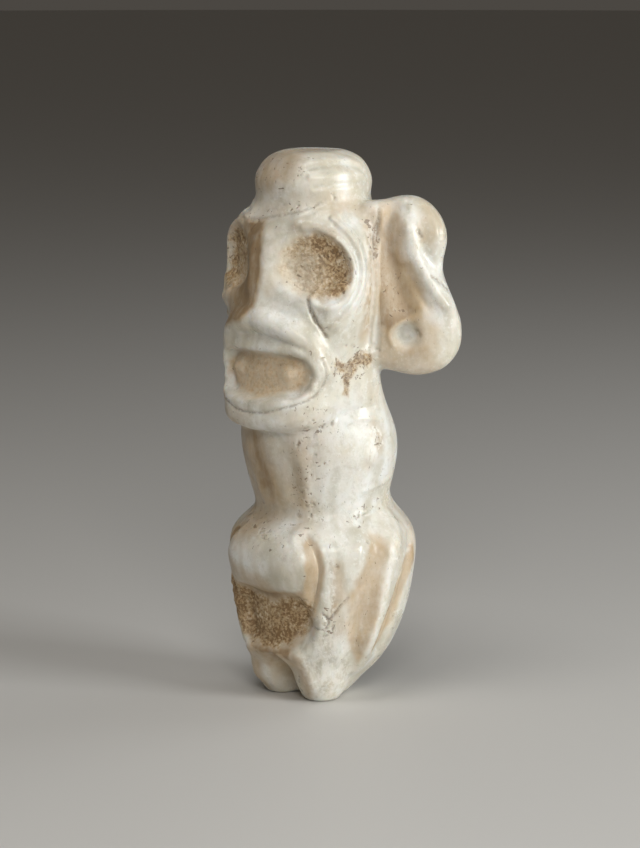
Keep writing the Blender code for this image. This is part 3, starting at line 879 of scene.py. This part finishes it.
# %% Speckles, chalk and painted highlights
EVERYWHERE = 0.30  # a few specks lie on every part of the stone

pitted_zones = [
    (0.35 + 0.014 * times) * reach(chart, path, width * 1.7, side)
    for path, width, side, times in PIT_ZONES
]
speckled = worn_mix(
    np.full(len(chart.x), EVERYWHERE),
    *pitted_zones,
    0.45 * reach(chart, [(-30, 93), (0, 94), (24, 94)], 3.4, NEAR),
    0.25 * patch(chart, SHIN_GROOVE, 2.0),
    0.30 * reach(chart, [(16.3, 65.8), (16.5, 65.2)], 1.2, on_ears=True),
    0.45 * reach(chart, [(11.8, 78.0), (13.0, 72.0), (15.0, 69.5)], 3.6, on_ears=True),
    0.30 * eye,
    0.90 * corner,
    0.60 * reach(chart, [(90, 49.4), (93, 46.6)], 2.0, NEAR),
    0.75 * reach(chart, [(52, 81.4), (60, 79.0), (60, 76.5)], 3.2),
)
keep_mask("speckled", speckled)

LIP_EDGE = [(10, 64.0), (30, 63.6), (40, 62.2), (46, 59.6), (42, 56.0), (28, 54.0), (6, 53.2)]
chalk_and_highlights = worn_mix(
    1.0 * reach(chart, [(89, 48.2), (92, 46.6), (87, 44.8)], 2.0, NEAR, flat=0.5),
    0.5 * reach(chart, [(41, 49.5), (42, 40), (42, 33.5)], 2.4, NEAR),
    0.6 * patch(chart, TEMPLE, 2.0),
    # Painted highlights, partly worn chalk: the crest of the shin and the calf ridge.
    0.8 * reach(chart, [(52, 27), (53.5, 20), (53, 15)], 1.6, NEAR),
    0.7 * reach(chart, [(94, 28), (91, 22), (87.5, 16), (86, 11)], 1.1, NEAR),
    0.25 * corner,
    # Painted light: the foot, which the low lamps light weakly, is painted pale.
    0.65 * reach(chart, [(48, 10), (54, 6), (62, 3)], 6.0, NEAR, flat=0.4),
    # Painted highlight along the edge of the lips.
    0.45 * reach(chart, LIP_EDGE, 1.3, NEAR),
)
keep_mask("chalk_and_highlights", chalk_and_highlights)

# %% [markdown]
# ## The marble
#
# Calcite marble is never one colour. Cloudy zones, milky or glassy, drift through it, and thin growth
# bands curve across like the rings of an agate. It could be painted, but nodes stay sharp at any distance.
# Object coordinates are used all through, scaled to millimetres, so the pattern is solid and runs through
# the stone from side to side.

# %% Start the material
marble = bpy.data.materials.new("veined_marble")
marble.use_nodes = True
tree = marble.node_tree
surface = tree.nodes["Principled BSDF"]


def node(kind, **settings):
    """A new node with its properties set."""
    made = tree.nodes.new(kind)
    for key, value in settings.items():
        setattr(made, key, value)
    return made


def feed(socket, source):
    """Puts a number, a colour or another node's output into a socket."""
    if isinstance(source, bpy.types.NodeSocket):
        tree.links.new(source, socket)
    else:
        socket.default_value = source


where = node("ShaderNodeTexCoord")
in_mm = node("ShaderNodeMapping")
feed(in_mm.inputs["Vector"], where.outputs["Object"])
feed(in_mm.inputs["Scale"], (1 / MM, 1 / MM, 1 / MM))
place = in_mm.outputs["Vector"]


def turned(turn=(0, 0, 0), stretch=(1, 1, 1), shift=(0, 0, 0)):
    """The place in millimetres, turned, stretched or shifted."""
    made = node("ShaderNodeMapping")
    feed(made.inputs["Vector"], place)
    feed(made.inputs["Location"], shift)
    feed(made.inputs["Rotation"], turn)
    feed(made.inputs["Scale"], stretch)
    return made.outputs["Vector"]


def clouds(size, detail=3.0, rough=0.5, warp=0.0, vector=None):
    """Cloudy noise around 0.5, with clouds of about the size in millimetres."""
    made = node("ShaderNodeTexNoise")
    feed(made.inputs["Vector"], vector or place)
    feed(made.inputs["Scale"], 1 / size)
    feed(made.inputs["Detail"], detail)
    feed(made.inputs["Roughness"], rough)
    feed(made.inputs["Distortion"], warp)
    return made.outputs["Fac"]


def mixed(factor, first, second):
    """The first colour where the factor is 0 and the second where it is 1."""
    made = node("ShaderNodeMix", data_type="RGBA")
    feed(made.inputs[0], factor)
    feed(made.inputs[6], first)
    feed(made.inputs[7], second)
    return made.outputs[2]


def worked(operation, first, second, clamp=False):
    """A sum worked out by a Math node."""
    made = node("ShaderNodeMath", operation=operation, use_clamp=clamp)
    feed(made.inputs[0], first)
    feed(made.inputs[1], second)
    return made.outputs[0]


def spread(value, low, high, to_low=0.0, to_high=1.0):
    """Stretches the range from low to high to the range from to_low to to_high."""
    made = node("ShaderNodeMapRange")
    feed(made.inputs["Value"], value)
    feed(made.inputs["From Min"], low)
    feed(made.inputs["From Max"], high)
    feed(made.inputs["To Min"], to_low)
    feed(made.inputs["To Max"], to_high)
    return made.outputs["Result"]


def mask(name):
    """One of the six masks."""
    return node("ShaderNodeAttribute", attribute_name=name).outputs["Fac"]


# %% Cloudy stone and its growth bands
CREAM = (0.69, 0.65, 0.54, 1)
MILK = (0.80, 0.80, 0.76, 1)
GLASSY = (0.51, 0.48, 0.385, 1)
BAND = (0.51, 0.45, 0.33, 1)
SUGAR = (0.84, 0.84, 0.80, 1)

body = mixed(spread(clouds(14, 3.0, 0.55, 0.8), 0.38, 0.62), CREAM, MILK)
glassy = clouds(8, 2.0, 0.5, 1.0, turned(stretch=(1, 1, 0.6)))
body = mixed(spread(glassy, 0.48, 0.66, 0.0, 0.75), body, GLASSY)

rings = node("ShaderNodeTexWave", wave_type="RINGS", rings_direction="SPHERICAL")
feed(rings.inputs["Vector"], turned(stretch=(1, 1, 0.35), shift=(-34, 22, -8)))
feed(rings.inputs["Scale"], 0.085)
feed(rings.inputs["Distortion"], 9.0)
feed(rings.inputs["Detail"], 3.0)
feed(rings.inputs["Detail Scale"], 0.22)
where_banded = spread(clouds(11, 2.0), 0.42, 0.62, 0.05, 0.5)
banded = worked("MULTIPLY", spread(rings.outputs["Fac"], 0.45, 1.0), where_banded)
body = mixed(banded, body, BAND)

where_sugary = spread(clouds(7, 2.0), 0.42, 0.60, 0.10, 0.65)
sugary = worked("MULTIPLY", spread(clouds(0.85, 3.0, 0.7), 0.52, 0.66), where_sugary)
body = mixed(sugary, body, SUGAR)
body = mixed(spread(clouds(1.6, 5.0, 0.75, 0.3), 0.52, 0.32, 0.0, 0.50), body, GLASSY)

# %% [markdown]
# ## Stain, painted shade and earth in the marble
#
# Tan is laid over the clean stone: real stain in most places, painted shade on the shaded left side and
# under the chin. It is mixed from two tans in cloudy patches, darker where the mask is full, and thin
# streaks that run up and down keep it uneven, as if water had drawn it. A painted warm amber glow follows.
# In the rough floors the colour comes from crumbs: fine noise and small cells sort each spot into dark,
# middle or pale earth.

# %% Tan stain and painted shade, and the painted amber glow
TAN = (0.36, 0.245, 0.13, 1)
TAN_PALE = (0.52, 0.375, 0.21, 1)
TAN_DEEP = (0.26, 0.17, 0.085, 1)
AMBER = (0.67, 0.48, 0.28, 1)

patchy = spread(clouds(4, 4.0, 0.6, 0.4), 0.34, 0.66)
# The tan mask holds real stain and painted shade, so this colour paints both.
stain_and_shade_colour = mixed(patchy, TAN, TAN_PALE)
stain_and_shade_colour = mixed(spread(mask("tan"), 0.80, 1.0, 0.0, 0.85), stain_and_shade_colour, TAN_DEEP)
streaks = clouds(1.3, 3.0, 0.6, vector=turned(stretch=(1, 1, 0.22)))
blotches = spread(clouds(2.2, 4.0, 0.65), 0.30, 0.62, 0.84, 1.08)
uneven = worked("MULTIPLY", blotches, spread(streaks, 0.32, 0.62, 0.82, 1.08))
stain_and_shade = worked("MULTIPLY", mask("tan"), uneven, clamp=True)
body = mixed(worked("MULTIPLY", stain_and_shade, 0.95), body, stain_and_shade_colour)
grainy = spread(clouds(0.9, 4.0, 0.7), 0.36, 0.62, 0.30, 0.95)
# Painted warm glow, amber where its mask asks.
body = mixed(worked("MULTIPLY", mask("amber"), grainy), body, AMBER)

# %% Crumbs of earth in the rough floors
EARTH_DARK = (0.25, 0.15, 0.065, 1)
EARTH = (0.50, 0.36, 0.20, 1)
EARTH_PALE = (0.74, 0.65, 0.50, 1)
GRIT_SIZE = 0.42

grit = node("ShaderNodeTexVoronoi")
feed(grit.inputs["Vector"], place)
feed(grit.inputs["Scale"], 1 / GRIT_SIZE)
gritty = node("ShaderNodeSeparateColor")
feed(gritty.inputs[0], grit.outputs["Color"])
grit_tone = worked("MULTIPLY", gritty.outputs[0], 0.18)
crumbs = worked("ADD", worked("MULTIPLY", clouds(0.6, 4.0, 0.7), 0.82), grit_tone)
drift = clouds(3.0, 3.0, 0.6)
crumb_tone = worked("ADD", worked("MULTIPLY", crumbs, 0.65), worked("MULTIPLY", drift, 0.35))
paler_where_thin = worked("MULTIPLY", worked("SUBTRACT", 0.72, mask("earth")), 0.19)
crumb_tone = worked("ADD", crumb_tone, paler_where_thin)
floor_colour = mixed(spread(crumb_tone, 0.40, 0.47), EARTH_DARK, EARTH)
floor_colour = mixed(spread(crumb_tone, 0.49, 0.60), floor_colour, EARTH_PALE)
body = mixed(worked("MULTIPLY", mask("earth"), 0.9), body, floor_colour)

# %% [markdown]
# ## Marks on the marble
#
# Chalk marks, which also paint highlights on the ridges, the foot and the lips, and dark specks come last,
# because they lie on top of everything. A speck has an uneven shape, since it is only the tip of fine noise
# that rises over a bar, and the bar is lower where the mask asks for more specks. The lines in the cracks
# are broken up by noise, as old dirt is.

# %% Chalk, painted highlights and dark specks
CHALK_AND_HIGHLIGHT = (0.84, 0.82, 0.75, 1)
SOOT = (0.17, 0.11, 0.065, 1)

chalk_and_highlight_streaks = spread(streaks, 0.46, 0.60, 0.0, 0.9)
chalk_and_highlight_marks = worked("MAXIMUM", spread(clouds(1.3, 4.0, 0.65), 0.47, 0.60), chalk_and_highlight_streaks)
chalk_and_highlight_spots = worked("MULTIPLY", mask("chalk_and_highlights"), chalk_and_highlight_marks)
# Chalk white, which is also the painted highlights.
body = mixed(chalk_and_highlight_spots, body, CHALK_AND_HIGHLIGHT)


def flecks(size, density, stretch, turn=(0, 0, 0)):
    """Small dark flecks of uneven shape, where fine noise rises over a bar that the density lowers."""
    rise = clouds(size, 2.0, 0.6, 0.5, turned(turn, stretch))
    bar = worked("SUBTRACT", 0.765, worked("MULTIPLY", density, 0.17))
    return spread(worked("SUBTRACT", rise, bar), 0.0, 0.055)


density = mask("speckled")
small_dots = flecks(0.75, density, (1, 1, 0.6))
dots = worked("MAXIMUM", small_dots, flecks(1.3, density, (1, 1, 1.5), (0.4, 0.7, 0)))
broken = spread(clouds(0.7, 3.0, 0.7), 0.38, 0.56)
lines = worked("MULTIPLY", mask("dirt"), broken, clamp=True)
marks = worked("MAXIMUM", worked("MULTIPLY", dots, 0.70), lines)
body = mixed(marks, body, SOOT)
feed(surface.inputs["Base Color"], body)

# %% [markdown]
# ## Polish, depth and fine relief
#
# Rubbed marble is smooth but not a mirror, so its roughness wanders a little, and it is duller on the tan
# mask, on earth and on the white marks. A little light goes into the stone, red furthest, and comes out
# again nearby. The bump is only for what is finer than the mesh: faint rub marks, crumbs, and the edges of
# marks.

# %% Polish and depth
GLOW_SHARE = 0.28
GLOW_REACH = (1.0, 0.62, 0.38)  # red, green and blue, as shares of the depth
GLOW_DEPTH = 1.6 * MM

polish = spread(clouds(2.5, 4.0, 0.65), 0.3, 0.7, 0.23, 0.40)
dull = worked("MULTIPLY", stain_and_shade, 0.14)
dry = worked("MULTIPLY", mask("earth"), 0.40)
dry_and_marked = worked("ADD", dry, worked("MULTIPLY", marks, 0.3))
worn = worked("ADD", dry_and_marked, worked("MULTIPLY", chalk_and_highlight_spots, 0.2))
feed(surface.inputs["Roughness"], worked("ADD", worked("ADD", polish, dull), worn, clamp=True))
feed(surface.inputs["Subsurface Weight"], GLOW_SHARE)
feed(surface.inputs["Subsurface Radius"], GLOW_REACH)
feed(surface.inputs["Subsurface Scale"], GLOW_DEPTH)

# %% Fine relief
BUMP_STRENGTH = 0.6
BUMP_DEPTH = 0.25 * MM

relief = worked("MULTIPLY", clouds(1.1, 4.0, 0.65, vector=turned(stretch=(1, 1, 0.5))), 0.42)
relief = worked("ADD", relief, worked("MULTIPLY", worked("MULTIPLY", crumbs, mask("earth")), 1.3))
relief = worked("ADD", relief, worked("MULTIPLY", chalk_and_highlight_spots, 0.25))
relief = worked("SUBTRACT", relief, worked("MULTIPLY", marks, 0.5))
bump = node("ShaderNodeBump")
feed(bump.inputs["Strength"], BUMP_STRENGTH)
feed(bump.inputs["Distance"], BUMP_DEPTH)
feed(bump.inputs["Height"], relief)
feed(surface.inputs["Normal"], bump.outputs["Normal"])
idol.data.materials.append(marble)
print("marble:", len(tree.nodes), "nodes")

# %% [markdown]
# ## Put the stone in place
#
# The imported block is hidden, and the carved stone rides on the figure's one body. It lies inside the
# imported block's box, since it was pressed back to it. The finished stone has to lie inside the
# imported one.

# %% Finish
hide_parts("idol")
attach(idol, "root")
